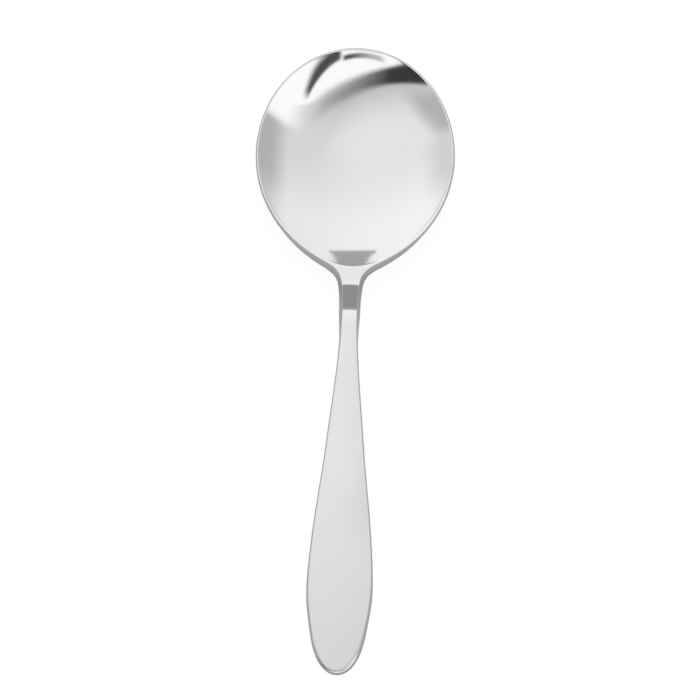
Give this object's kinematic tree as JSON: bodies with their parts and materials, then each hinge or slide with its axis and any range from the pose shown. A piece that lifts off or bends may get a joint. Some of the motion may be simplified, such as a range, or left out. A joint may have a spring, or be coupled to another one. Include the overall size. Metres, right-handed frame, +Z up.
{
  "type": "serving spoon",
  "caption": "Serving spoon with a deep near-round bowl, a slim cranked neck and a long drop-shaped handle in polished stainless steel.",
  "frame": {"origin": "centre of the bounding box at its bottom, on the table that the spoon lies on", "axes": "+Z up, +Y to the front of the bowl, the handle runs to -Y, +X to the right seen from above with the bowl away from the viewer"},
  "size_m": [0.0698, 0.2262, 0.0213],
  "materials": {
    "steel": "mirror polished"
  },
  "bodies": {
    "root": {"bowl": "steel", "handle": "steel"}
  },
  "joints": []
}
